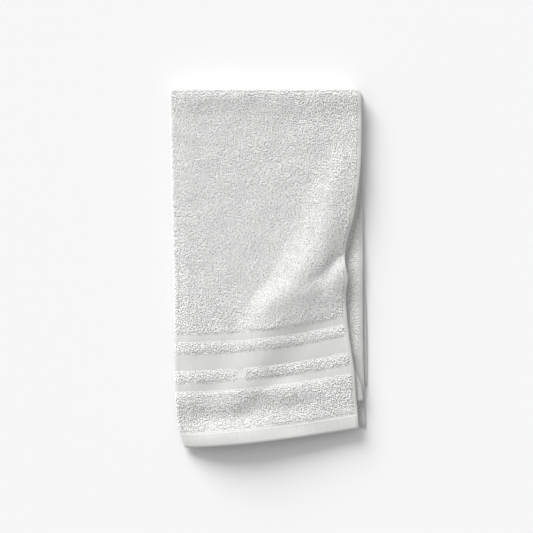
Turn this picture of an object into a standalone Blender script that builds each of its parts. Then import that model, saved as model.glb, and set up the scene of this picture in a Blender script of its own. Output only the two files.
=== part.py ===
# A white cotton terry hand towel, folded in half lengthwise and then in half crosswise.
#
# It lies flat: the lengthwise fold runs down its -X side, the crosswise fold along its +Y end, and the
# two hemmed ends lie at -Y. So there are four layers, named here top, second, third and bottom. The top
# two hang a little past the others and are pushed up into a slanting ridge.
# Metres, +Z up, the origin under the middle of the folded towel.

import bmesh
import bpy
import numpy as np

# The cloth
CLOTH_WIDTH = 0.406
PILE_HALF = 0.0016  # middle of the cloth to the tips of its loops
PLAIN_HALF = 0.0010  # the same for the hems, the selvages and the plain stripes
SELVAGE = 0.0050  # plain strip down each side
STEP = 0.0008  # width of the slope from pile to plain cloth
LAYER_PITCH = 0.0046  # middle of one layer to the middle of the next
BEND_REACH = LAYER_PITCH / 2  # how far the lengthwise bend goes past the layers it joins
LEG = (CLOTH_WIDTH - np.pi * BEND_REACH) / 2  # width of each layer between the bend and its right edge

# Where the cloth changes, measured from a hemmed end. The top layer's end has a border of three plain
# stripes with two pile bands between them, and the other end has one plain stripe.
NEAR_LINES = (0.0151, 0.0595, 0.0674, 0.0811, 0.0977, 0.1110, 0.1183)
FAR_LINES = (0.0151, 0.0450, 0.0735)

# The folded towel
FOLD_Y = 0.1813  # where the crosswise fold starts to turn
NEAR_END = -0.1894  # end of the top two layers at the lengthwise fold
FAR_END = -0.1461  # end of the lower two layers there
LOWER_INSET = 0.0022  # the lower two layers stop this much short at the lengthwise fold
CORNER_PULL = 0.0075  # how far the folded corner at the right is drawn in
OUTER_FOLD = 0.55  # 1 is a round crosswise fold, and the outer layers' is flatter with a tighter edge

# name: (end at the fold, climb of the end to its right corner, curve of that climb,
#        share of the ridges, share of the lifted hem)
LAYERS = {
    "top": (NEAR_END, 0.0204, 1.45, 1.0, 1.0),
    "second": (NEAR_END, 0.0501, 1.20, 0.75, 0.5),
    "third": (FAR_END, -0.0226, 1.00, 0.35, 0.0),
    "bottom": (FAR_END, 0.0220, 1.00, 0.0, 0.0),
}
BORDER_CURVE = 6.4  # the border's lines curve more than the hem by this much a metre

# The lengthwise fold seen from above: (y, x)
LEFT_FOLD = [
    (0.187, -0.1039),
    (0.081, -0.1018),
    (-0.034, -0.0992),
    (-0.133, -0.0981),
    (-0.152, -0.0971),
    (-0.167, -0.0950),
    (-0.176, -0.0925),
    (-0.189, -0.0887),
]

# Each layer's right edge seen from above: (y, x)
RIGHT_EDGES = {
    "top": [
        (0.180, 0.0980),
        (0.134, 0.0977),
        (0.102, 0.0964),
        (0.078, 0.0935),
        (0.053, 0.0896),
        (0.034, 0.0844),
        (0.018, 0.0810),
        (0.010, 0.0802),
        (0.002, 0.0810),
        (-0.013, 0.0835),
        (-0.026, 0.0815),
        (-0.040, 0.0817),
        (-0.071, 0.0847),
        (-0.111, 0.0904),
        (-0.134, 0.0921),
        (-0.168, 0.0950),
    ],
    "second": [
        (0.180, 0.0982),
        (0.113, 0.0977),
        (0.095, 0.0968),
        (0.073, 0.0953),
        (0.054, 0.0925),
        (0.036, 0.0877),
        (0.020, 0.0841),
        (0.006, 0.0795),
        (-0.024, 0.0804),
        (-0.066, 0.0830),
        (-0.092, 0.0872),
        (-0.106, 0.0902),
        (-0.121, 0.0967),
        (-0.139, 0.0997),
    ],
    "third": [
        (0.176, 0.0980),
        (0.018, 0.0995),
        (-0.066, 0.0996),
        (-0.106, 0.1003),
        (-0.125, 0.1012),
        (-0.169, 0.1028),
    ],
    "bottom": [
        (0.181, 0.0988),
        (0.102, 0.0988),
        (0.045, 0.0995),
        (-0.003, 0.1003),
        (-0.024, 0.1020),
        (-0.087, 0.1038),
        (-0.124, 0.1038),
    ],
}

# The slanting ridge, from its top end down to the hem:
# (y, crest x, height, left run, right run, lean: how slowly the right side starts to fall)
RIDGE = [
    (0.130, 0.0880, 0.0000, 0.026, 0.070, 1.4),
    (0.105, 0.0820, 0.0036, 0.032, 0.050, 1.4),
    (0.081, 0.0750, 0.0064, 0.036, 0.044, 1.4),
    (0.060, 0.0680, 0.0077, 0.037, 0.043, 1.4),
    (0.039, 0.0605, 0.0085, 0.038, 0.042, 1.4),
    (0.024, 0.0530, 0.0089, 0.038, 0.041, 1.4),
    (0.009, 0.0450, 0.0090, 0.038, 0.036, 1.4),
    (-0.018, 0.0270, 0.0090, 0.036, 0.036, 1.3),
    (-0.034, 0.0110, 0.0090, 0.034, 0.050, 1.2),
    (-0.050, 0.0010, 0.0079, 0.034, 0.064, 1.1),
    (-0.074, -0.0050, 0.0063, 0.038, 0.058, 0.9),
    (-0.099, -0.0085, 0.0049, 0.045, 0.045, 0.8),
    (-0.115, -0.0140, 0.0038, 0.045, 0.040, 0.8),
    (-0.139, -0.0340, 0.0020, 0.035, 0.030, 1.0),
    (-0.165, -0.0500, 0.0000, 0.030, 0.020, 1.0),
]

# The short crease where the right edge is pushed in: (x, crest y, height, run up, run down)
CREASE = [
    (0.028, -0.034, 0.0000, 0.010, 0.030),
    (0.036, -0.030, 0.0016, 0.014, 0.035),
    (0.052, -0.024, 0.0044, 0.020, 0.040),
    (0.068, -0.012, 0.0058, 0.020, 0.045),
    (0.080, 0.000, 0.0048, 0.018, 0.045),
    (0.095, 0.004, 0.0036, 0.018, 0.045),
]

# A low roll along the last plain stripe, below the ridge: the same columns as the crease
ROLL = [
    (-0.028, -0.128, 0.0000, 0.016, 0.022),
    (-0.006, -0.128, 0.0014, 0.016, 0.022),
    (0.014, -0.129, 0.0024, 0.016, 0.024),
    (0.034, -0.130, 0.0021, 0.016, 0.024),
    (0.056, -0.132, 0.0009, 0.016, 0.022),
    (0.078, -0.134, 0.0000, 0.016, 0.022),
]

# A low swell beside the lengthwise fold, across the border: (y, crest x, height, left run, right run)
SWELL = [
    (-0.050, -0.080, 0.0000, 0.030, 0.030),
    (-0.075, -0.081, 0.0012, 0.030, 0.034),
    (-0.120, -0.082, 0.0012, 0.030, 0.034),
    (-0.150, -0.082, 0.0000, 0.030, 0.030),
]

# The lift of the top hem off what is below, across the layer: (share of the width, lift)
HEM_LIFT = [
    (0.00, -0.0008),
    (0.06, 0.0030),
    (0.18, 0.0090),
    (0.34, 0.0118),
    (0.48, 0.0108),
    (0.62, 0.0086),
    (0.80, 0.0052),
    (1.00, 0.0018),
]
HEM_LIFT_RUN = 0.036

# How much of a layer's height the cloth above it loses past its end: (share of the width, loss)
DROOP = [
    (0.00, 0.50),
    (0.15, 0.43),
    (0.36, 0.46),
    (0.60, 0.42),
    (1.00, 0.35),
]
DROOP_START = 0.0090  # the droop starts this much before the end of the layer below
LONG_DROOP_RUN = 0.034  # past the end of the bottom layer
SHORT_DROOP_RUN = 0.020  # past the end of the second and third layers

THINNING = 0.12  # share of their height that the layers lose from the lengthwise fold to the right
SELVAGE_PRESS = 0.04  # share lost again where the thin selvages lie on each other
SELVAGE_RUN = 0.009
FOLD_THINNING = 0.10  # share lost towards the crosswise fold, which is pressed flatter
FOLD_THINNING_RUN = 0.15
FOLD_PUFF = 0.0022  # the two upper layers stand up again just before the crosswise fold
FOLD_PUFF_RUN = 0.026
RIM_FALL = 0.0016  # the upper layers round down towards the lengthwise fold
RIM_RUN = 0.016
RIM_LEVEL = 0.55  # share of that fall which the layers make up for further in
EDGE_PRESS = 0.60  # share of the slanting ridge lost at the right edge
EDGE_RUN = 0.032
EDGE_CURL = 0.0010  # rise of the upper layers' selvages, which curl up a little
EDGE_CURL_RUN = 0.008

# The slope of a layer's end dies out along the cloth: distances from the end at which it starts and
# stops doing so
UPPER_LEVELLING = (0.125, 0.275)
LOWER_LEVELLING = (0.090, 0.290)

# Faint unevenness of a folded cloth: (waves per metre along x, along y, phase, height)
UNEVEN = [
    (14.0, 9.0, 0.4, 0.00022),
    (-21.0, 13.0, 2.1, 0.00018),
    (33.0, 24.0, 4.0, 0.00010),
    (6.0, -31.0, 1.2, 0.00012),
]

# The grid of points: across a layer from the bend to the selvage, closest near the right, and along it
COLUMNS = 11
LAST_COLUMN = 0.9
CROWDING = 0.8
CREASED_LENGTH = 0.220  # rows lie closer together as far as this from the near end


def ease(t):
    """Goes from 0 to 1 with a level start and end."""
    t = np.clip(t, 0, 1)
    return t * t * (3 - 2 * t)


def follow(rows, at, column=1):
    """Reads one column of a table along a smooth curve through its rows."""
    table = np.array(sorted(rows))
    place, value = table[:, 0], table[:, column]
    slope = np.gradient(value, place)
    i = np.clip(np.searchsorted(place, at) - 1, 0, len(place) - 2)
    span = place[i + 1] - place[i]
    t = np.clip((at - place[i]) / span, 0, 1)
    rise = value[i] + ease(t) * (value[i + 1] - value[i])
    return rise + t * (1 - t) * span * ((1 - t) * slope[i] - t * slope[i + 1])


def hump(distance, before, after, lean=1.0):
    """1 on a crest, falling to 0 over one run before it and another after it."""
    t = np.clip(np.abs(distance) / np.where(distance < 0, before, after), 0, 1)
    t = np.where(distance > 0, t**lean, t)
    return 0.5 + 0.5 * np.cos(np.pi * t)


def ridges(x, y, from_edge):
    """Height of the slanting ridge, which falls off at the right edge, and of the smaller ones."""
    crest_x, rise, left, right, lean = (follow(RIDGE, y, column) for column in range(1, 6))
    z = rise * hump(x - crest_x, left, right, lean)
    z = z * (1 - EDGE_PRESS * (1 - ease(from_edge / EDGE_RUN)))
    for table in (CREASE, ROLL):
        crest_y, rise, up, down = (follow(table, x, column) for column in (1, 2, 3, 4))
        z = z + rise * hump(y - crest_y, down, up)
    crest_x, rise, left, right = (follow(SWELL, y, column) for column in (1, 2, 3, 4))
    return z + rise * hump(x - crest_x, left, right)


def uneven(x, y):
    return sum(rise * np.sin(2 * np.pi * (a * x + b * y) + phase) for a, b, phase, rise in UNEVEN)


def end_line(layer, across):
    """y of a layer's end, where across goes from 0 at the lengthwise fold to 1 at the right edge."""
    end, climb, curve = LAYERS[layer][:3]
    return end + climb * across**curve


def on_top_of(layer, y, across, run, loss=1):
    """1 over a layer, easing past its end to what is left of its height there."""
    return 1 - loss * ease((end_line(layer, across) + DROOP_START - y) / run)


def height(layer, x, y, across):
    """Height of the middle of a layer over the surface it lies on."""
    ridge_share, hem_share = LAYERS[layer][3:]
    from_edge = (1 - across) * LEG
    lost = THINNING * ease(across) + SELVAGE_PRESS * (1 - ease(from_edge / SELVAGE_RUN))
    lost = lost + FOLD_THINNING * (1 - ease(across)) * (1 - ease((FOLD_Y - y) / FOLD_THINNING_RUN))
    pitch = LAYER_PITCH * (1 - lost)
    z = np.full_like(y, PILE_HALF)
    if layer == "third":
        z += pitch * on_top_of("bottom", y, across, LONG_DROOP_RUN)
    if layer in ("top", "second"):
        loss = follow(DROOP, across)
        z += pitch * on_top_of("bottom", y, across, LONG_DROOP_RUN, loss)
        z += pitch * on_top_of("third", y, across, SHORT_DROOP_RUN, loss)
        z += FOLD_PUFF * (1 - ease((FOLD_Y - y) / FOLD_PUFF_RUN))
        z += RIM_FALL * (ease(across * LEG / RIM_RUN) - 1 + RIM_LEVEL)
        lift = follow(HEM_LIFT, across) * (1 - ease((y - end_line("top", across)) / HEM_LIFT_RUN))
        z += hem_share * lift
        z += EDGE_CURL * (1 - ease(from_edge / EDGE_CURL_RUN))
    if layer == "top":
        z += pitch * on_top_of("second", y, across, SHORT_DROOP_RUN, loss)
        z += uneven(x, y)
    return z + ridge_share * ridges(x, y, from_edge)


def layer_points(layer, along, across):
    """Points of one row of a layer, a distance along from its end at the lengthwise fold."""
    end, climb, curve = LAYERS[layer][:3]
    inset = PILE_HALF + BEND_REACH
    level_from, level_to = LOWER_LEVELLING
    if layer == "top":
        curve = curve + BORDER_CURVE * min(along, NEAR_LINES[-1])
        level_from, level_to = UPPER_LEVELLING
    if end == FAR_END:
        inset += LOWER_INSET
    slope_left = 1 - ease((along - level_from) / (level_to - level_from))
    y = end + along + climb * slope_left * across**curve
    left = follow(LEFT_FOLD, y) + inset
    right = follow(RIGHT_EDGES[layer], y)
    x = left + across * (right - left)
    return np.column_stack([x, y, height(layer, x, y, across)])


def section(upper, lower, along, across, turns):
    """One row round the lengthwise fold: in along the upper layer, round the bend, out on the lower."""
    above = layer_points(upper, along, across)
    below = layer_points(lower, along, across)
    start, stop = above[:1], below[:1]
    bend = (start + stop) / 2 + np.cos(turns)[:, None] * (start - stop) / 2
    bend[:, 0] -= BEND_REACH * np.sin(turns)
    return np.vstack([above[::-1], bend, below])


def crosswise_fold(front, back, across, turns, angle):
    """One row of the crosswise fold, which turns the front section over onto the back one."""
    sides = np.concatenate([np.ones(len(across)), np.cos(turns), -np.ones(len(across))])
    rights = np.concatenate([across[::-1], np.zeros(len(turns)), across])
    shape = 1 - (1 - OUTER_FOLD) * (1 + sides) / 2
    out = np.sin(angle) ** shape
    up = np.sign(np.cos(angle)) * np.abs(np.cos(angle)) ** shape
    row = (front + back) / 2 + up[:, None] * (front - back) / 2
    row[:, 1] += LAYER_PITCH * (1 + sides / 2) * out
    row[:, 0] -= CORNER_PULL * out**2 * rights**4
    return row


def rows_between(start, stop, count):
    """Evenly spaced places between two others, leaving out both ends."""
    return np.linspace(start, stop, count + 2)[1:-1]


def stepped(lines):
    """Each line as two places, one on either side of the slope from pile to plain cloth."""
    return [line + side * STEP / 2 for line in lines for side in (-1, 1)]


def near_rows():
    """Distances from the near end to the crosswise fold, closest where the cloth is creased."""
    lines = stepped(NEAR_LINES)
    rows = [0.0, *lines, CREASED_LENGTH, FOLD_Y - NEAR_END]
    rows += list(rows_between(lines[1], lines[2], 3))
    rows += list(rows_between(lines[7], lines[8], 1))
    rows += list(rows_between(lines[-1], CREASED_LENGTH, 9))
    rows += list(rows_between(CREASED_LENGTH, FOLD_Y - NEAR_END, 8))
    return sorted(rows)


def far_rows():
    """Distances from the far end to the crosswise fold, from the fold down to the end."""
    lines = stepped(FAR_LINES)
    rows = [0.0, *lines, FOLD_Y - FAR_END]
    rows += list(rows_between(lines[1], lines[2], 2))
    rows += list(rows_between(lines[3], lines[4], 1))
    rows += list(rows_between(lines[-1], FOLD_Y - FAR_END, 6))
    return sorted(rows, reverse=True)


def is_plain(along, lines):
    """Whether the cloth is plain at a distance from its end: it changes at each line."""
    return sum(along > line for line in lines) % 2 == 0


def folded_cloth():
    """The middle of the cloth as a grid of points, and how thick it is at each."""
    selvage_at = 1 - np.array([SELVAGE + STEP / 2, SELVAGE - STEP / 2]) / LEG
    across = np.concatenate([np.linspace(0, LAST_COLUMN, COLUMNS) ** CROWDING, selvage_at, [1.0]])
    plain_column = across > selvage_at[0]
    turns = rows_between(0, np.pi, 7)
    columns = np.concatenate([plain_column[::-1], np.zeros(len(turns), bool), plain_column])

    points = []
    plain = []
    for along in near_rows():
        points.append(section("top", "second", along, across, turns))
        plain.append(columns | is_plain(along, NEAR_LINES))
    front = points[-1]
    back = section("bottom", "third", FOLD_Y - FAR_END, across, turns)
    for angle in rows_between(0, np.pi, 8):
        points.append(crosswise_fold(front, back, across, turns, angle))
        plain.append(columns)
    for along in far_rows():
        points.append(section("bottom", "third", along, across, turns))
        plain.append(columns | is_plain(along, FAR_LINES))
    return np.array(points), np.where(plain, PLAIN_HALF, PILE_HALF)


def cotton_terry():
    """Bleached cotton terry: a neutral white, fully matt."""
    material = bpy.data.materials.new("white_cotton_terry")
    material.use_nodes = True
    shader = material.node_tree.nodes["Principled BSDF"]
    shader.inputs["Base Color"].default_value = (0.78, 0.78, 0.775, 1)
    shader.inputs["Roughness"].default_value = 0.95
    shader.inputs["Metallic"].default_value = 0.0
    return material


def make_towel():
    """The folded middle surface, thickened to the cloth's own thickness at each point."""
    points, half_thickness = folded_cloth()
    bm = bmesh.new()
    grid = [[bm.verts.new(point) for point in row] for row in points]
    for row, next_row in zip(grid, grid[1:]):
        for a, b, c, d in zip(row, row[1:], next_row[1:], next_row):
            bm.faces.new((a, b, c, d))
    mesh = bpy.data.meshes.new("towel")
    bm.to_mesh(mesh)
    bm.free()
    mesh.shade_smooth()
    towel = bpy.data.objects.new("towel", mesh)
    bpy.context.scene.collection.objects.link(towel)
    mesh.materials.append(cotton_terry())

    group = towel.vertex_groups.new(name="thickness")
    for index, half in enumerate(half_thickness.ravel()):
        group.add([index], float(half / PILE_HALF), "REPLACE")
    solidify = towel.modifiers.new("cloth", "SOLIDIFY")
    solidify.thickness = 2 * PILE_HALF
    solidify.offset = 0
    solidify.vertex_group = group.name
    solidify.use_even_offset = True
    solidify.use_quality_normals = True


for old in list(bpy.data.objects):
    bpy.data.objects.remove(old)
make_towel()
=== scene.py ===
import math

import bpy
import numpy as np
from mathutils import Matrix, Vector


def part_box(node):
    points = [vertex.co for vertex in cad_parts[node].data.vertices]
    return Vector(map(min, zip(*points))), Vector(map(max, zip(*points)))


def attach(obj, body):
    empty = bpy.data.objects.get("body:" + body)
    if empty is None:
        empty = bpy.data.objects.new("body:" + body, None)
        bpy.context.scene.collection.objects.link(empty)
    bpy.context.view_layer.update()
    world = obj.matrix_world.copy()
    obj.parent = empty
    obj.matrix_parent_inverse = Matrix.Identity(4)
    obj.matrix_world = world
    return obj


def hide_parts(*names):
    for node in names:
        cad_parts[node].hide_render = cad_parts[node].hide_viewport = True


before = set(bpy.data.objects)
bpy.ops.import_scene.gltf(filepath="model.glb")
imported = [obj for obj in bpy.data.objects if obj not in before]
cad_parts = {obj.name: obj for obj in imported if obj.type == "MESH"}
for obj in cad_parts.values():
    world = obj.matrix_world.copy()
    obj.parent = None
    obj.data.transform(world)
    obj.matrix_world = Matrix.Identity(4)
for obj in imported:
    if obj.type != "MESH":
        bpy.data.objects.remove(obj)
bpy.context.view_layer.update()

for loaded in bpy.context.selected_objects:
    loaded.select_set(False)


# ---------------------------------------------------------------------------------------------------
# The cloth: one panel of white cotton, woven with terry pile on both faces, a dobby border at one end,
# plain selvages down both sides and a plain hem turned and stitched at each end. It is folded in half
# lengthwise, then crosswise, and lies flat. Its top two layers are pushed up into a slanting ridge.

low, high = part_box("towel")
CLOTH_WIDTH = 0.406
CLOTH_LENGTH = 0.711
LAYER_PITCH = 0.0046  # middle of one layer to the middle of the next
BEND_REACH = LAYER_PITCH / 2  # how far the lengthwise bend goes past the layers it joins
leg = (CLOTH_WIDTH - np.pi * BEND_REACH) / 2  # width of each layer between the bend and its right edge
PILE_HALF = 0.0016  # middle of the cloth to the tips of pressed pile
GROUND_HALF = 0.0008  # middle of the cloth to the ground weave that the loops stand on
PLAIN_HALF = 0.0009  # the same for the plain stripes and selvages
HEM_HALF = 0.0010  # the hem is the plain cloth turned over twice and pressed
EDGE_HALF = 0.0004  # the cloth's edges are rounded off to this
SELVAGE = 0.0050
STEP = 0.0008  # width of the slope from pile to plain cloth
HEM_DEPTH = 0.0151

# Distances from the hemmed ends at which the cloth changes between plain and pile
NEAR_LINES = (HEM_DEPTH, 0.0595, 0.0674, 0.0811, 0.0977, 0.1110, 0.1183)
FAR_LINES = (HEM_DEPTH, 0.0450, 0.0735)

FOLD_REACH = 1.5 * LAYER_PITCH + PILE_HALF
FOLD_Y = high.y - FOLD_REACH  # where the crosswise fold starts to turn
NEAR_END = low.y + 0.0003  # end of the top two layers at the lengthwise fold
FAR_END = NEAR_END + 0.0433  # end of the lower two layers there
LOWER_INSET = 0.0022  # the lower two layers stop this much short at the lengthwise fold
CORNER_PULL = 0.0075  # how far the folded corner at the right is drawn in
OUTER_FOLD = 0.55  # 1 is a round crosswise fold, and the outer layers' is flatter with a tighter edge

# name: (end at the fold, climb of the end to its right corner, curve of that climb,
#        share of the ridges, share of the lifted hem)
LAYERS = {
    "top": (NEAR_END, 0.0204, 1.45, 1.0, 1.0),
    "second": (NEAR_END, 0.0501, 1.20, 0.75, 0.5),
    "third": (FAR_END, -0.0226, 1.00, 0.35, 0.0),
    "bottom": (FAR_END, 0.0220, 1.00, 0.0, 0.0),
}
BORDER_CURVE = 6.4  # the border's lines curve more than the hem by this much a metre

# The lengthwise fold seen from above: (y, x)
LEFT_FOLD = [
    (0.187, -0.1039),
    (0.081, -0.1018),
    (-0.034, -0.0992),
    (-0.133, -0.0981),
    (-0.152, -0.0971),
    (-0.167, -0.0950),
    (-0.176, -0.0925),
    (-0.189, -0.0887),
]

# Each layer's right edge seen from above: (y, x)
RIGHT_EDGES = {
    "top": [
        (0.180, 0.0980),
        (0.134, 0.0977),
        (0.102, 0.0964),
        (0.078, 0.0935),
        (0.053, 0.0896),
        (0.034, 0.0844),
        (0.018, 0.0810),
        (0.010, 0.0802),
        (0.002, 0.0810),
        (-0.013, 0.0835),
        (-0.026, 0.0815),
        (-0.040, 0.0817),
        (-0.071, 0.0847),
        (-0.111, 0.0904),
        (-0.134, 0.0921),
        (-0.168, 0.0950),
    ],
    "second": [
        (0.180, 0.0982),
        (0.113, 0.0977),
        (0.095, 0.0968),
        (0.073, 0.0953),
        (0.054, 0.0925),
        (0.036, 0.0877),
        (0.020, 0.0841),
        (0.006, 0.0795),
        (-0.024, 0.0804),
        (-0.066, 0.0830),
        (-0.092, 0.0872),
        (-0.106, 0.0902),
        (-0.121, 0.0967),
        (-0.139, 0.0997),
    ],
    "third": [
        (0.176, 0.0980),
        (0.018, 0.0995),
        (-0.066, 0.0996),
        (-0.106, 0.1003),
        (-0.125, 0.1012),
        (-0.169, 0.1028),
    ],
    "bottom": [
        (0.181, 0.0988),
        (0.102, 0.0988),
        (0.045, 0.0995),
        (-0.003, 0.1003),
        (-0.024, 0.1020),
        (-0.087, 0.1038),
        (-0.124, 0.1038),
    ],
}

# The slanting ridge, from its top end down to the hem:
# (y, crest x, height, left run, right run, lean: how slowly the right side starts to fall)
RIDGE = [
    (0.130, 0.0880, 0.0000, 0.026, 0.070, 1.4),
    (0.105, 0.0820, 0.0036, 0.032, 0.050, 1.4),
    (0.081, 0.0750, 0.0064, 0.036, 0.044, 1.4),
    (0.060, 0.0680, 0.0077, 0.037, 0.043, 1.4),
    (0.039, 0.0605, 0.0085, 0.038, 0.042, 1.4),
    (0.024, 0.0530, 0.0089, 0.038, 0.041, 1.4),
    (0.009, 0.0450, 0.0090, 0.038, 0.036, 1.4),
    (-0.018, 0.0270, 0.0090, 0.036, 0.036, 1.3),
    (-0.034, 0.0110, 0.0090, 0.034, 0.050, 1.2),
    (-0.050, 0.0010, 0.0079, 0.034, 0.064, 1.1),
    (-0.074, -0.0050, 0.0063, 0.038, 0.058, 0.9),
    (-0.099, -0.0085, 0.0049, 0.045, 0.045, 0.8),
    (-0.115, -0.0140, 0.0038, 0.045, 0.040, 0.8),
    (-0.139, -0.0340, 0.0020, 0.035, 0.030, 1.0),
    (-0.165, -0.0500, 0.0000, 0.030, 0.020, 1.0),
]

# The short crease where the right edge is pushed in: (x, crest y, height, run up, run down)
CREASE = [
    (0.028, -0.034, 0.0000, 0.010, 0.030),
    (0.036, -0.030, 0.0016, 0.014, 0.035),
    (0.052, -0.024, 0.0044, 0.020, 0.040),
    (0.068, -0.012, 0.0058, 0.020, 0.045),
    (0.080, 0.000, 0.0048, 0.018, 0.045),
    (0.095, 0.004, 0.0036, 0.018, 0.045),
]

# A low roll along the last plain stripe, below the ridge: (x, crest y, height, run up, run down)
ROLL = [
    (-0.028, -0.128, 0.0000, 0.016, 0.022),
    (-0.006, -0.128, 0.0014, 0.016, 0.022),
    (0.014, -0.129, 0.0024, 0.016, 0.024),
    (0.034, -0.130, 0.0021, 0.016, 0.024),
    (0.056, -0.132, 0.0009, 0.016, 0.022),
    (0.078, -0.134, 0.0000, 0.016, 0.022),
]

# A low swell beside the lengthwise fold, across the border: (y, crest x, height, left run, right run)
SWELL = [
    (-0.050, -0.080, 0.0000, 0.030, 0.030),
    (-0.075, -0.081, 0.0012, 0.030, 0.034),
    (-0.120, -0.082, 0.0012, 0.030, 0.034),
    (-0.150, -0.082, 0.0000, 0.030, 0.030),
]

# The lift of the top hem off what is below, across the layer: (share of the width, lift)
HEM_LIFT = [
    (0.00, -0.0008),
    (0.06, 0.0030),
    (0.18, 0.0090),
    (0.34, 0.0118),
    (0.48, 0.0108),
    (0.62, 0.0086),
    (0.80, 0.0052),
    (1.00, 0.0018),
]
HEM_LIFT_RUN = 0.036

# The cloth above a layer's end droops past it. This is the share of the layer's height that it loses
# there: (share of the width, loss)
DROOP = [
    (0.00, 0.50),
    (0.15, 0.43),
    (0.36, 0.46),
    (0.60, 0.42),
    (1.00, 0.35),
]
DROOP_START = 0.0090  # the droop starts this much before the end of the layer below
LONG_DROOP_RUN = 0.034  # past the end of the bottom layer
SHORT_DROOP_RUN = 0.020  # past the end of the second and third layers

THINNING = 0.12  # share of their height that the layers lose from the lengthwise fold to the right
SELVAGE_PRESS = 0.04  # share lost again where the thin selvages lie on each other
SELVAGE_RUN = 0.009
FOLD_THINNING = 0.10  # share lost towards the crosswise fold, which is pressed flatter
FOLD_THINNING_RUN = 0.15
FOLD_PUFF = 0.0022  # the two upper layers stand up again just before the crosswise fold
FOLD_PUFF_RUN = 0.026
RIM_FALL = 0.0016  # the upper layers round down towards the lengthwise fold
RIM_RUN = 0.016
RIM_LEVEL = 0.55  # share of that fall which the layers make up for further in
EDGE_PRESS = 0.60  # share of the slanting ridge lost at the right edge
EDGE_RUN = 0.032
EDGE_CURL = 0.0010  # rise of the upper layers' selvages, which curl up a little
EDGE_CURL_RUN = 0.008

# The slope of a layer's end dies out along the cloth: distances from the end at which it starts and
# stops doing so
UPPER_LEVELLING = (0.125, 0.275)
LOWER_LEVELLING = (0.090, 0.290)

# Faint unevenness of a folded cloth: (waves per metre along x, along y, phase, height)
UNEVEN = [
    (14.0, 9.0, 0.4, 0.00022),
    (-21.0, 13.0, 2.1, 0.00018),
    (33.0, 24.0, 4.0, 0.00010),
    (6.0, -31.0, 1.2, 0.00012),
]


def ease(t):
    """Goes from 0 to 1 with a level start and end."""
    t = np.clip(t, 0, 1)
    return t * t * (3 - 2 * t)


def follow(rows, at, column=1):
    """Reads one column of a table along a smooth curve through its rows."""
    table = np.array(sorted(rows))
    place, value = table[:, 0], table[:, column]
    slope = np.gradient(value, place)
    i = np.clip(np.searchsorted(place, at) - 1, 0, len(place) - 2)
    span = place[i + 1] - place[i]
    t = np.clip((at - place[i]) / span, 0, 1)
    rise = value[i] + ease(t) * (value[i + 1] - value[i])
    return rise + t * (1 - t) * span * ((1 - t) * slope[i] - t * slope[i + 1])


def hump(distance, before, after, lean=1.0):
    """1 on a crest, falling to 0 over one run before it and another after it."""
    t = np.clip(np.abs(distance) / np.where(distance < 0, before, after), 0, 1)
    t = np.where(distance > 0, t**lean, t)
    return 0.5 + 0.5 * np.cos(np.pi * t)


def ridges(x, y, from_edge):
    """Height of the slanting ridge, which falls off at the right edge, and of the smaller ones."""
    crest_x, rise, left, right, lean = (follow(RIDGE, y, column) for column in range(1, 6))
    z = rise * hump(x - crest_x, left, right, lean)
    z = z * (1 - EDGE_PRESS * (1 - ease(from_edge / EDGE_RUN)))
    for table in (CREASE, ROLL):
        crest_y, rise, up, down = (follow(table, x, column) for column in (1, 2, 3, 4))
        z = z + rise * hump(y - crest_y, down, up)
    crest_x, rise, left, right = (follow(SWELL, y, column) for column in (1, 2, 3, 4))
    return z + rise * hump(x - crest_x, left, right)


def uneven(x, y):
    """Height of the faint unevenness of a folded cloth."""
    return sum(rise * np.sin(2 * np.pi * (a * x + b * y) + phase) for a, b, phase, rise in UNEVEN)


def end_line(layer, across):
    """y of a layer's end, where across goes from 0 at the lengthwise fold to 1 at the right edge."""
    end, climb, curve = LAYERS[layer][:3]
    return end + climb * across**curve


def on_top_of(layer, y, across, run, loss=1):
    """1 over a layer, easing past its end to what is left of its height there."""
    return 1 - loss * ease((end_line(layer, across) + DROOP_START - y) / run)


def height(layer, x, y, across):
    """Height of the middle of a layer over the surface it lies on."""
    ridge_share, hem_share = LAYERS[layer][3:]
    from_edge = (1 - across) * leg
    lost = THINNING * ease(across) + SELVAGE_PRESS * (1 - ease(from_edge / SELVAGE_RUN))
    lost = lost + FOLD_THINNING * (1 - ease(across)) * (1 - ease((FOLD_Y - y) / FOLD_THINNING_RUN))
    pitch = LAYER_PITCH * (1 - lost)
    z = np.full_like(y, PILE_HALF)
    if layer == "third":
        z += pitch * on_top_of("bottom", y, across, LONG_DROOP_RUN)
    if layer in ("top", "second"):
        loss = follow(DROOP, across)
        z += pitch * on_top_of("bottom", y, across, LONG_DROOP_RUN, loss)
        z += pitch * on_top_of("third", y, across, SHORT_DROOP_RUN, loss)
        z += FOLD_PUFF * (1 - ease((FOLD_Y - y) / FOLD_PUFF_RUN))
        z += RIM_FALL * (ease(across * leg / RIM_RUN) - 1 + RIM_LEVEL)
        lift = follow(HEM_LIFT, across) * (1 - ease((y - end_line("top", across)) / HEM_LIFT_RUN))
        z += hem_share * lift
        z += EDGE_CURL * (1 - ease(from_edge / EDGE_CURL_RUN))
    if layer == "top":
        z += pitch * on_top_of("second", y, across, SHORT_DROOP_RUN, loss)
        z += uneven(x, y)
    return z + ridge_share * ridges(x, y, from_edge)


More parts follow.
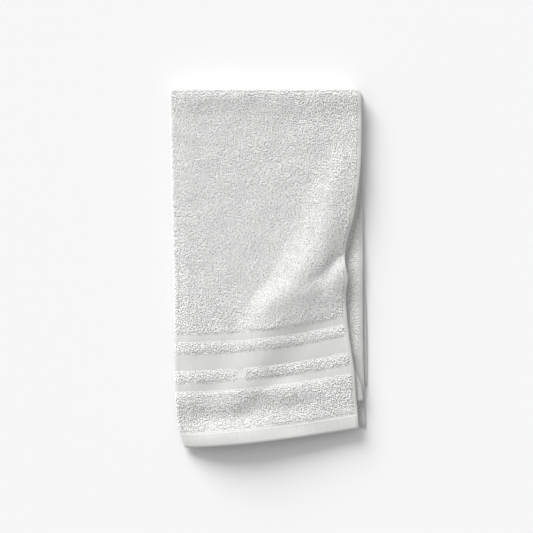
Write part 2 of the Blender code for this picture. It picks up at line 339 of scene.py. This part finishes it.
def layer_points(layer, along, across):
    """Points of one row of a layer, a distance along from its end at the lengthwise fold."""
    end, climb, curve = LAYERS[layer][:3]
    inset = PILE_HALF + BEND_REACH
    level_from, level_to = LOWER_LEVELLING
    if layer == "top":
        curve = curve + BORDER_CURVE * min(along, NEAR_LINES[-1])
        level_from, level_to = UPPER_LEVELLING
    if end == FAR_END:
        inset += LOWER_INSET
    slope_left = 1 - ease((along - level_from) / (level_to - level_from))
    y = end + along + climb * slope_left * across**curve
    left = follow(LEFT_FOLD, y) + inset
    right = follow(RIGHT_EDGES[layer], y)
    x = left + across * (right - left)
    return np.column_stack([x, y, height(layer, x, y, across)])


def section(upper, lower, along, outer_across, inner_across, turns):
    """One row round the lengthwise fold: in along the upper layer, round the bend, out on the lower."""
    above = layer_points(upper, along, outer_across)
    below = layer_points(lower, along, inner_across)
    start, stop = above[:1], below[:1]
    bend = (start + stop) / 2 + np.cos(turns)[:, None] * (start - stop) / 2
    bend[:, 0] -= BEND_REACH * np.sin(turns)
    return np.vstack([above[::-1], bend, below])


def rows_between(start, stop, spacing):
    """Even places from one end to the other, about a spacing apart."""
    return np.linspace(start, stop, max(2, round(abs(stop - start) / spacing) + 1))


def rows_with_steps(lines, stop, spacing):
    """Places from 0 to stop, with both sides of each slope from pile to plain cloth among them."""
    edges = [0.0, *lines, stop]
    rows = [0.0, STEP / 2]
    for start, end in zip(edges, edges[1:]):
        first = start + STEP / 2 if start else STEP / 2
        last = end - STEP / 2 if end != stop else stop
        rows.extend(rows_between(first, last, spacing))
    return np.unique(np.round(rows, 6))


def plain_share(along, lines):
    """1 on plain cloth and 0 on pile, at a distance from the cloth's end."""
    changes = [ease((along - line + STEP / 2) / STEP) for line in lines]
    return 1 - sum(change * (-1) ** i for i, change in enumerate(changes))


# The grid of the cloth: its columns go round the lengthwise fold, and its rows round the crosswise one.
# It is fine on the outer layers and coarser on the two inside.
OUTER_COLUMN = 0.0125  # spacing, as a share of a layer's width
INNER_COLUMN = 0.0500
NEAR_ROW = 0.0026
FAR_ROW = 0.0060
BEND_COLUMNS = 8
FOLD_ROWS = 12
selvage_places = 1 - np.array([SELVAGE + STEP / 2, SELVAGE - STEP / 2, STEP / 2, 0]) / leg
outer_across = np.append(rows_between(0, selvage_places[0], OUTER_COLUMN)[:-1], selvage_places)
inner_across = np.append(rows_between(0, selvage_places[0], INNER_COLUMN)[:-1], selvage_places)
turns = np.linspace(0, np.pi, BEND_COLUMNS + 2)[1:-1]
near_rows = rows_with_steps(NEAR_LINES, FOLD_Y - NEAR_END, NEAR_ROW)
far_rows = rows_with_steps(FAR_LINES, FOLD_Y - FAR_END, FAR_ROW)[::-1]
fold_angles = np.linspace(0, np.pi, FOLD_ROWS + 2)[1:-1]

front = [section("top", "second", along, outer_across, inner_across, turns) for along in near_rows]
back = [section("bottom", "third", along, outer_across, inner_across, turns) for along in far_rows]
sides = np.concatenate([np.ones(len(outer_across)), np.cos(turns), -np.ones(len(inner_across))])
rights = np.concatenate([outer_across[::-1], 0 * turns, inner_across])
over = []
shape = 1 - (1 - OUTER_FOLD) * (1 + sides) / 2
for angle in fold_angles:
    out = np.sin(angle) ** shape
    up = np.sign(np.cos(angle)) * np.abs(np.cos(angle)) ** shape
    row = (front[-1] + back[0]) / 2 + up[:, None] * (front[-1] - back[0]) / 2
    row[:, 1] += LAYER_PITCH * (1 + sides / 2) * out
    row[:, 0] -= CORNER_PULL * out**2 * rights**4
    over.append(row)
middle = np.array(front + over + back)

# Distances across and along the cloth, in metres, of each column and row
column_at = np.concatenate(
    [leg * (1 - outer_across[::-1]), leg + turns * BEND_REACH, CLOTH_WIDTH - leg * (1 - inner_across)]
)
fold_length = CLOTH_LENGTH - near_rows[-1] - far_rows[0]
round_fold = middle[len(near_rows) - 1 : len(near_rows) + len(fold_angles) + 1, 0]
round_fold = np.cumsum(np.linalg.norm(np.diff(round_fold, axis=0), axis=1))
fold_at = near_rows[-1] + round_fold[:-1] / round_fold[-1] * fold_length
row_at = np.concatenate([near_rows, fold_at, CLOTH_LENGTH - far_rows])
front_end = near_rows[-1]
back_start = CLOTH_LENGTH - far_rows[0]
UNDERSIDE_SHARE = 0.82  # past this share of the fold, the face turns down to what it lies on
underside_from = front_end + UNDERSIDE_SHARE * fold_length

# Which way the face of the cloth looks: up on the top layer, and outwards round both folds
along_cloth = np.gradient(middle, axis=0)
across_cloth = np.gradient(middle, axis=1)
face = np.cross(along_cloth, across_cloth)
face /= np.linalg.norm(face, axis=2, keepdims=True)

# How plain the cloth is, and how far each of its faces stands from its middle. The faces that get loops
# stop at the ground weave, and the hidden ones reach to the tips of their pressed pile.
from_near = row_at[:, None]
from_far = CLOTH_LENGTH - row_at[:, None]
selvage = 1 - ease((np.minimum(column_at, CLOTH_WIDTH - column_at) - SELVAGE + STEP / 2) / STEP)[None, :]
near_plain = plain_share(from_near, NEAR_LINES)
far_plain = plain_share(from_far, FAR_LINES)
plain = np.maximum(np.where(from_near < from_far, near_plain, far_plain), selvage)
hem = 1 - ease((np.minimum(from_near, from_far) - HEM_DEPTH + STEP / 2) / STEP)
flat_half = PLAIN_HALF + (HEM_HALF - PLAIN_HALF) * hem
under_half = PILE_HALF + (flat_half - PILE_HALF) * plain
on_bottom = (row_at > underside_from)[:, None] & (column_at < leg)[None, :]
looped_half = np.where(on_bottom, PILE_HALF, GROUND_HALF)
face_half = looped_half + (flat_half - looped_half) * plain
rim = np.minimum(np.minimum(from_near, from_far), np.minimum(column_at, CLOTH_WIDTH - column_at)[None, :])
rounding = ease(rim / (STEP / 2))
face_half = EDGE_HALF + (face_half - EDGE_HALF) * rounding
under_half = EDGE_HALF + (under_half - EDGE_HALF) * rounding


def mesh_object(name, points, faces):
    """An object made of points and of faces that are rows of point numbers, smooth all over."""
    mesh = bpy.data.meshes.new(name)
    sizes = np.concatenate([np.full(len(block), block.shape[1]) for block in faces])
    corners = np.concatenate([block.ravel() for block in faces])
    mesh.vertices.add(len(points))
    mesh.vertices.foreach_set("co", np.ascontiguousarray(points, np.float32).ravel())
    mesh.loops.add(len(corners))
    mesh.loops.foreach_set("vertex_index", corners.astype(np.int32))
    mesh.polygons.add(len(sizes))
    mesh.polygons.foreach_set("loop_start", (np.cumsum(sizes) - sizes).astype(np.int32))
    mesh.update(calc_edges=True)
    mesh.validate()
    mesh.shade_smooth()
    made = bpy.data.objects.new(name, mesh)
    bpy.context.scene.collection.objects.link(made)
    return made


def grid_faces(numbers):
    """Four-cornered faces between the neighbours of a grid of point numbers."""
    a, b = numbers[:-1, :-1], numbers[1:, :-1]
    c, d = numbers[1:, 1:], numbers[:-1, 1:]
    return np.stack([a, b, c, d], axis=-1).reshape(-1, 4)


def around(numbers):
    """The edge of a grid of point numbers, once round."""
    return np.concatenate([numbers[0, :-1], numbers[:-1, -1], numbers[-1, :0:-1], numbers[:0:-1, 0]])


points = np.concatenate(
    [
        (middle + face * face_half[..., None]).reshape(-1, 3),
        (middle - face * under_half[..., None]).reshape(-1, 3),
    ]
)
numbers = np.arange(middle.shape[0] * middle.shape[1]).reshape(middle.shape[:2])
lower_numbers = numbers + numbers.size
ring, lower_ring = around(numbers), around(lower_numbers)
rim_faces = np.stack([ring, np.roll(ring, -1), np.roll(lower_ring, -1), lower_ring], axis=-1)
cloth_faces = [grid_faces(numbers), grid_faces(lower_numbers)[:, ::-1], rim_faces]
cloth = mesh_object("towel_cloth", points, cloth_faces)

# The weave follows the cloth: its map holds shares of the cloth's width and length
weave_map = cloth.data.uv_layers.new(name="weave")
flat_place = np.stack(
    np.broadcast_arrays(column_at[None, :] / CLOTH_WIDTH, row_at[:, None] / CLOTH_LENGTH), axis=-1
).reshape(-1, 2)
flat_place = np.concatenate([flat_place, flat_place])
corner_points = np.zeros(len(cloth.data.loops), np.int32)
cloth.data.loops.foreach_get("vertex_index", corner_points)
weave_map.data.foreach_set("uv", flat_place[corner_points].astype(np.float32).ravel())
plainness = cloth.data.attributes.new("plain", "FLOAT", "POINT")
plainness.data.foreach_set("value", np.concatenate([plain.ravel(), plain.ravel()]).astype(np.float32))


def linear(hex_colour):
    """A linear colour from an sRGB hex value."""
    channels = [int(hex_colour[i : i + 2], 16) / 255 for i in (0, 2, 4)]
    return [c / 12.92 if c <= 0.04045 else ((c + 0.055) / 1.055) ** 2.4 for c in channels] + [1]


def node(material, kind, links=(), **settings):
    """Adds a node. Settings name its properties or its inputs, and links join an input to an output."""
    made = material.node_tree.nodes.new(kind)
    for name, value in settings.items():
        if name in made.bl_rna.properties:
            setattr(made, name, value)
        else:
            made.inputs[name.replace("_", " ")].default_value = value
    for target, source in links:
        material.node_tree.links.new(source, made.inputs[target])
    return made


# Ground weave of bleached ring-spun cotton. Threads lie about 0.55 mm apart, finer than shows, so the
# ribs are drawn 1.1 mm apart. Where loops are pressed flat between layers, the cloth is pebbled.
THREAD = 0.0011
ground = bpy.data.materials.new("bleached_cotton_plain_weave")
ground.use_nodes = True
shader = ground.node_tree.nodes["Principled BSDF"]
shader.inputs["Roughness"].default_value = 0.9
shader.inputs["Specular IOR Level"].default_value = 0.25
shader.inputs["Sheen Weight"].default_value = 0.15
shader.inputs["Sheen Roughness"].default_value = 0.6
place = node(ground, "ShaderNodeUVMap", uv_map="weave")
plain_mask = node(ground, "ShaderNodeAttribute", attribute_name="plain")
ribs = node(
    ground,
    "ShaderNodeMapping",
    [("Vector", place.outputs["UV"])],
    Scale=(CLOTH_WIDTH / THREAD, CLOTH_LENGTH / THREAD, 1),
)
streaks = node(
    ground,
    "ShaderNodeMapping",
    [("Vector", place.outputs["UV"])],
    Scale=(CLOTH_WIDTH / THREAD, CLOTH_LENGTH / (16 * THREAD), 1),
)
threads = node(ground, "ShaderNodeTexNoise", [("Vector", ribs.outputs["Vector"])], Scale=1.0, Detail=1.0)
reed = node(ground, "ShaderNodeTexNoise", [("Vector", streaks.outputs["Vector"])], Scale=1.0, Detail=2.0)
pebbles = node(ground, "ShaderNodeTexVoronoi", [("Vector", ribs.outputs["Vector"])], Scale=0.7)
woven = node(
    ground,
    "ShaderNodeMix",
    [("A", reed.outputs["Fac"]), ("B", threads.outputs["Fac"])],
    data_type="FLOAT",
    Factor=0.4,
)
relief = node(
    ground,
    "ShaderNodeMix",
    [
        ("Factor", plain_mask.outputs["Fac"]),
        ("A", pebbles.outputs["Distance"]),
        ("B", woven.outputs[0]),
    ],
    data_type="FLOAT",
)
bump = node(ground, "ShaderNodeBump", [("Height", relief.outputs[0])], Strength=0.35, Distance=0.0005)
tint = node(ground, "ShaderNodeValToRGB", [("Fac", reed.outputs["Fac"])])
tint.color_ramp.elements[0].position = 0.3
tint.color_ramp.elements[0].color = linear("BCBCBB")
tint.color_ramp.elements[1].position = 0.7
tint.color_ramp.elements[1].color = linear("C4C4C3")
ground.node_tree.links.new(tint.outputs["Color"], shader.inputs["Base Color"])
ground.node_tree.links.new(bump.outputs["Normal"], shader.inputs["Normal"])
cloth.data.materials.append(ground)

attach(cloth, "root")
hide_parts("towel")


# ---------------------------------------------------------------------------------------------------
# The pile: loops of soft cotton yarn that the loom leaves standing on the ground weave. Washing turns
# and tips them every way, in small clumps. The top field has three pieces, so that each stays small.

LOOP_SPACING = 0.00158
LOOP_WIDTH = 0.0019
LOOP_HEIGHT = 0.00145
YARN_RADIUS = 0.00060
LOOP_ROOT = 0.0003  # height of the loop's feet over the middle of the cloth
BEND_PILE = 0.5  # share of its height that the pile keeps where it is stretched round a fold
BEND_EASE = 0.004
EDGE_PILE = 0.5  # share of its height that the pile has beside a plain stripe
EDGE_YARN = 0.6  # share of its thickness that the yarn has there
EDGE_PILE_RUN = 0.0045
CRUSHED_SPOT = (0.0742, 0.1290)  # where the ridge has crushed one pile band: (along, across) the cloth
CRUSHED_SIZE = (0.0080, 0.0050)
CRUSHED_LOSS = 0.8  # share of its height that the pile loses there
RING_ANGLES = np.radians([0, 45, 90, 135, 180])
YARN_SIDES = 3
chance = np.random.default_rng(28)


def sample(grid, rows, columns):
    """Reads a grid of the cloth between its points, at distances along and across the cloth."""
    r = np.interp(rows, row_at, np.arange(len(row_at)))
    c = np.interp(columns, column_at, np.arange(len(column_at)))
    i = np.minimum(r.astype(int), len(row_at) - 2)
    j = np.minimum(c.astype(int), len(column_at) - 2)
    u, v = (r - i)[:, None], (c - j)[:, None]
    upper = grid[i, j] * (1 - v) + grid[i, j + 1] * v
    lower = grid[i + 1, j] * (1 - v) + grid[i + 1, j + 1] * v
    return upper * (1 - u) + lower * u


def unit(vectors):
    """The same directions, with a length of 1."""
    return vectors / np.linalg.norm(vectors, axis=-1, keepdims=True)


def patchy(rows, columns, size):
    """Random numbers from -1 to 1 that change smoothly over a distance of about size."""
    table = chance.uniform(-1, 1, (int(CLOTH_LENGTH / size) + 3, int(CLOTH_WIDTH / size) + 3))
    r, c = rows / size, columns / size
    i, j = r.astype(int), c.astype(int)
    u, v = ease(r - i), ease(c - j)
    upper = table[i, j] * (1 - v) + table[i, j + 1] * v
    lower = table[i + 1, j] * (1 - v) + table[i + 1, j + 1] * v
    return upper * (1 - u) + lower * u


def yarn(name, rings):
    """Closed tubes of yarn: rings holds, for each tube, its rings of corners."""
    tubes, count, sides = rings.shape[:3]
    ring = np.arange(sides)
    start = (np.arange(count - 1) * sides)[:, None]
    turn = np.roll(ring, -1)
    walls = np.stack([start + ring, start + turn, start + sides + turn, start + sides + ring], axis=-1)
    first = (np.arange(tubes) * count * sides)[:, None]
    walls = (first[:, :, None] + walls.reshape(1, -1, 4)).reshape(-1, 4)
    caps = np.concatenate([first + ring[::-1], first + (count - 1) * sides + ring])
    return mesh_object(name, rings.reshape(-1, 3), [walls, caps])


def loop_sites(first_row, last_row, first_column, last_column):
    """Places of loops on a stretch of the cloth: staggered rows, each loop a little out of line."""
    rows = np.arange(first_row + 0.3 * LOOP_SPACING, last_row, LOOP_SPACING)
    columns = np.arange(first_column + 0.3 * LOOP_SPACING, last_column, LOOP_SPACING)
    r, c = np.meshgrid(rows, columns, indexing="ij")
    c = c + LOOP_SPACING / 2 * (np.arange(len(rows)) % 2)[:, None]
    r = r + chance.uniform(-0.3, 0.3, r.shape) * LOOP_SPACING
    c = c + chance.uniform(-0.3, 0.3, c.shape) * LOOP_SPACING
    keep = (c > first_column) & (c < last_column)
    return r[keep], c[keep]


def loop_rings(rows, columns, side=1):
    """The rings of a loop at each site, on the cloth's face, or on its back where side is -1."""
    foot = sample(middle, rows, columns)
    up = unit(sample(face, rows, columns)) * side
    along = unit(sample(unit(along_cloth), rows, columns))
    across = np.cross(up, along)
    count = len(rows)
    past_fold = np.maximum(ease((columns - leg) / BEND_EASE), ease((rows - front_end) / BEND_EASE))
    crushed_along = (rows - CRUSHED_SPOT[0]) / CRUSHED_SIZE[0]
    crushed_across = (columns - CRUSHED_SPOT[1]) / CRUSHED_SIZE[1]
    crushed = np.hypot(crushed_along, crushed_across)
    lying = 1 - (1 - BEND_PILE) * past_fold
    lying = lying * (1 - CRUSHED_LOSS * (1 - ease(crushed - 0.5)))
    lines = np.concatenate([NEAR_LINES, CLOTH_LENGTH - np.array(FAR_LINES)])
    from_line = np.min(np.abs(rows[:, None] - lines[None, :]), axis=1)
    full = ease(from_line / EDGE_PILE_RUN)
    lying = lying * (EDGE_PILE + (1 - EDGE_PILE) * full)
    thick = (YARN_RADIUS * (EDGE_YARN + (1 - EDGE_YARN) * full))[:, None]
    turn = chance.normal(0, 0.9, count)
    tall = 1 + 0.20 * chance.uniform(-1, 1, count) + 0.12 * patchy(rows, columns, 0.006)
    tall = LOOP_HEIGHT * lying * tall
    wide = LOOP_WIDTH * chance.uniform(0.75, 1.25, count)
    tip_along = 0.50 * patchy(rows, columns, 0.0042) + chance.normal(0, 0.24, count) - 0.10
    tip_across = 0.50 * patchy(rows, columns, 0.0042) + chance.normal(0, 0.24, count)
    plane = np.cos(turn)[:, None] * along + np.sin(turn)[:, None] * across
    beside = np.cross(up, plane)
    lean = (tip_along[:, None] * along + tip_across[:, None] * across) * tall[:, None]
    rings = np.zeros((count, len(RING_ANGLES), YARN_SIDES, 3))
    for k, angle in enumerate(RING_ANGLES):
        rise = math.sin(angle)
        centre = foot + up * (LOOP_ROOT + tall[:, None] * rise)
        centre = centre - plane * (wide[:, None] / 2 * math.cos(angle) * (0.7 + 0.5 * rise)) + lean * rise**2
        heading = plane * math.sin(angle) + up * math.cos(angle)
        inward = np.cross(heading, beside)
        for s in range(YARN_SIDES):
            a = 2 * math.pi * s / YARN_SIDES
            rings[:, k, s] = centre + thick * (math.cos(a) * inward + math.sin(a) * beside)
    return rings


def terry_sites(first_row, last_row, first_column, last_column):
    """Sites on the pile between two rows, leaving out the plain cloth there."""
    rows, columns = loop_sites(first_row, last_row, first_column, last_column)
    bare = sample(plain[..., None], rows, columns)[:, 0]
    keep = bare < 0.5
    return rows[keep], columns[keep]


# Of the layers below the top one, only these stretches show: their bends and a strip at the right
SIDE_STRIP = 0.020
SECOND_SHOWS = 0.105  # as far as this from the near end
bend_end = CLOTH_WIDTH - leg
side_strip = (CLOTH_WIDTH - SIDE_STRIP, CLOTH_WIDTH - SELVAGE)
outside = loop_rings(*terry_sites(HEM_DEPTH, underside_from, SELVAGE, bend_end))
far_bend = loop_rings(*terry_sites(back_start, CLOTH_LENGTH - HEM_DEPTH, leg, bend_end))
third_edge = loop_rings(*terry_sites(back_start, CLOTH_LENGTH - HEM_DEPTH, *side_strip))
second_edge = loop_rings(*terry_sites(HEM_DEPTH, SECOND_SHOWS, *side_strip), side=-1)
pile_names = ["pile_near_hem", "pile_lower", "pile_middle", "pile_upper", "pile_by_fold"]
pile_rings = dict(zip(pile_names, np.array_split(outside, len(pile_names))))
pile_rings["pile_lower_layers"] = np.concatenate([far_bend, third_edge, second_edge])

# Looped pile of bleached two-ply cotton: fully matt, and each loop a little lighter or darker
terry = bpy.data.materials.new("bleached_cotton_terry_loops")
terry.use_nodes = True
shader = terry.node_tree.nodes["Principled BSDF"]
shader.inputs["Roughness"].default_value = 1.0
shader.inputs["Specular IOR Level"].default_value = 0.1
shader.inputs["Subsurface Weight"].default_value = 0.4
shader.inputs["Subsurface Radius"].default_value = (1, 1, 1)
shader.inputs["Subsurface Scale"].default_value = 0.0008
shader.inputs["Sheen Weight"].default_value = 0.6
shader.inputs["Sheen Roughness"].default_value = 0.6
spot = node(terry, "ShaderNodeTexCoord")
fleck = node(
    terry,
    "ShaderNodeTexNoise",
    [("Vector", spot.outputs["Object"])],
    Scale=1 / 0.0025,
    Detail=2.0,
)
shades = node(terry, "ShaderNodeValToRGB", [("Fac", fleck.outputs["Fac"])])
shades.color_ramp.elements[0].position = 0.3
shades.color_ramp.elements[0].color = linear("EBEBEA")
shades.color_ramp.elements[1].position = 0.7
shades.color_ramp.elements[1].color = linear("F7F7F6")
terry.node_tree.links.new(shades.outputs["Color"], shader.inputs["Base Color"])

pile = [yarn(name, rings) for name, rings in pile_rings.items()]
for piece in pile:
    piece.data.materials.append(terry)
    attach(piece, "root")


# ---------------------------------------------------------------------------------------------------
# The hem stitching: a lockstitch in white cotton thread, sewn along each hem just inside its turned
# edge, and shown on both faces of the cloth.

STITCH_LENGTH = 0.0026
STITCH_PITCH = 0.0031
THREAD_RADIUS = 0.00022
STITCH_INSET = 0.0016  # from the hem's inner edge
STITCH_MARGIN = 0.002  # the rows stop this much short of the selvages
STITCH_ANGLES = np.radians([0, 50, 90, 130, 180])
STITCH_SIDES = 5


def make_stitches(name, row, first_column, last_column, side):
    """A row of stitches across the cloth, on its face, or on its back where side is -1."""
    columns = np.arange(first_column, last_column, STITCH_PITCH)
    rows = np.full(len(columns), row)
    foot = sample(middle, rows, columns)
    up = unit(sample(face, rows, columns)) * side
    run = unit(sample(across_cloth, rows, columns))
    beside = np.cross(up, run)
    rings = np.zeros((len(columns), len(STITCH_ANGLES), STITCH_SIDES, 3))
    for k, angle in enumerate(STITCH_ANGLES):
        centre = foot + up * (HEM_HALF + 1.2 * THREAD_RADIUS * (math.sin(angle) - 0.4))
        centre = centre - run * (STITCH_LENGTH / 2 * math.cos(angle))
        for s in range(STITCH_SIDES):
            a = 2 * math.pi * s / STITCH_SIDES
            thin = THREAD_RADIUS * (0.5 + 0.5 * math.sin(angle))
            rings[:, k, s] = centre + thin * (math.cos(a) * up + math.sin(a) * beside)
    return yarn(name, rings)


stitching = []
for name, row in (
    ("near", HEM_DEPTH - STITCH_INSET),
    ("far", CLOTH_LENGTH - HEM_DEPTH + STITCH_INSET),
):
    for side_name, side in (("face", 1), ("back", -1)):
        stitching.append(
            make_stitches(
                f"hem_stitches_{name}_{side_name}", row, STITCH_MARGIN, CLOTH_WIDTH - STITCH_MARGIN, side
            )
        )

# Mercerised cotton sewing thread: white and a little smoother than the cloth
sewing = bpy.data.materials.new("white_cotton_sewing_thread")
sewing.use_nodes = True
shader = sewing.node_tree.nodes["Principled BSDF"]
shader.inputs["Base Color"].default_value = linear("F2F2F0")
shader.inputs["Roughness"].default_value = 0.6
for piece in stitching:
    piece.data.materials.append(sewing)
    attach(piece, "root")


# ---------------------------------------------------------------------------------------------------
# The studio: a pale floor, two soft lights from the upper left and an even fill all round. The camera
# looks straight down on the towel.

bpy.ops.mesh.primitive_plane_add(size=6.0, location=(0, 0, 0))
floor = bpy.context.object
floor.name = "floor"
paper = bpy.data.materials.new("matt_white_paper")
paper.use_nodes = True
shader = paper.node_tree.nodes["Principled BSDF"]
shader.inputs["Base Color"].default_value = linear("DFDFDF")
shader.inputs["Roughness"].default_value = 0.9
floor.data.materials.append(paper)


def soft_light(name, height, turn, size, strength):
    """A soft light far away: its height over the floor, turn from +X and size are in degrees."""
    data = bpy.data.lights.new(name, "SUN")
    data.energy = strength
    data.angle = math.radians(size)
    light = bpy.data.objects.new(name, data)
    light.rotation_euler = (0, math.radians(90 - height), math.radians(turn))
    bpy.context.scene.collection.objects.link(light)


soft_light("key_light", height=28, turn=118, size=36, strength=4.0)
soft_light("overhead_light", height=56, turn=125, size=84, strength=0.75)

world = bpy.data.worlds.new("studio_fill")
world.use_nodes = True
world.node_tree.nodes["Background"].inputs["Color"].default_value = (1, 1, 1, 1)
world.node_tree.nodes["Background"].inputs["Strength"].default_value = 0.455
bpy.context.scene.world = world
bpy.context.scene.view_settings.view_transform = "Standard"

VIEW_WIDTH = 0.5597  # of floor across the picture
CAMERA_HEIGHT = 3.0
MEAN_HEIGHT = 0.012
camera_data = bpy.data.cameras.new("camera")
camera_data.sensor_width = 36
camera_data.lens = camera_data.sensor_width * (CAMERA_HEIGHT - MEAN_HEIGHT) / VIEW_WIDTH
camera = bpy.data.objects.new("camera", camera_data)
camera.location = (-0.0020, 0.0009, CAMERA_HEIGHT)
bpy.context.scene.collection.objects.link(camera)
bpy.context.scene.camera = camera
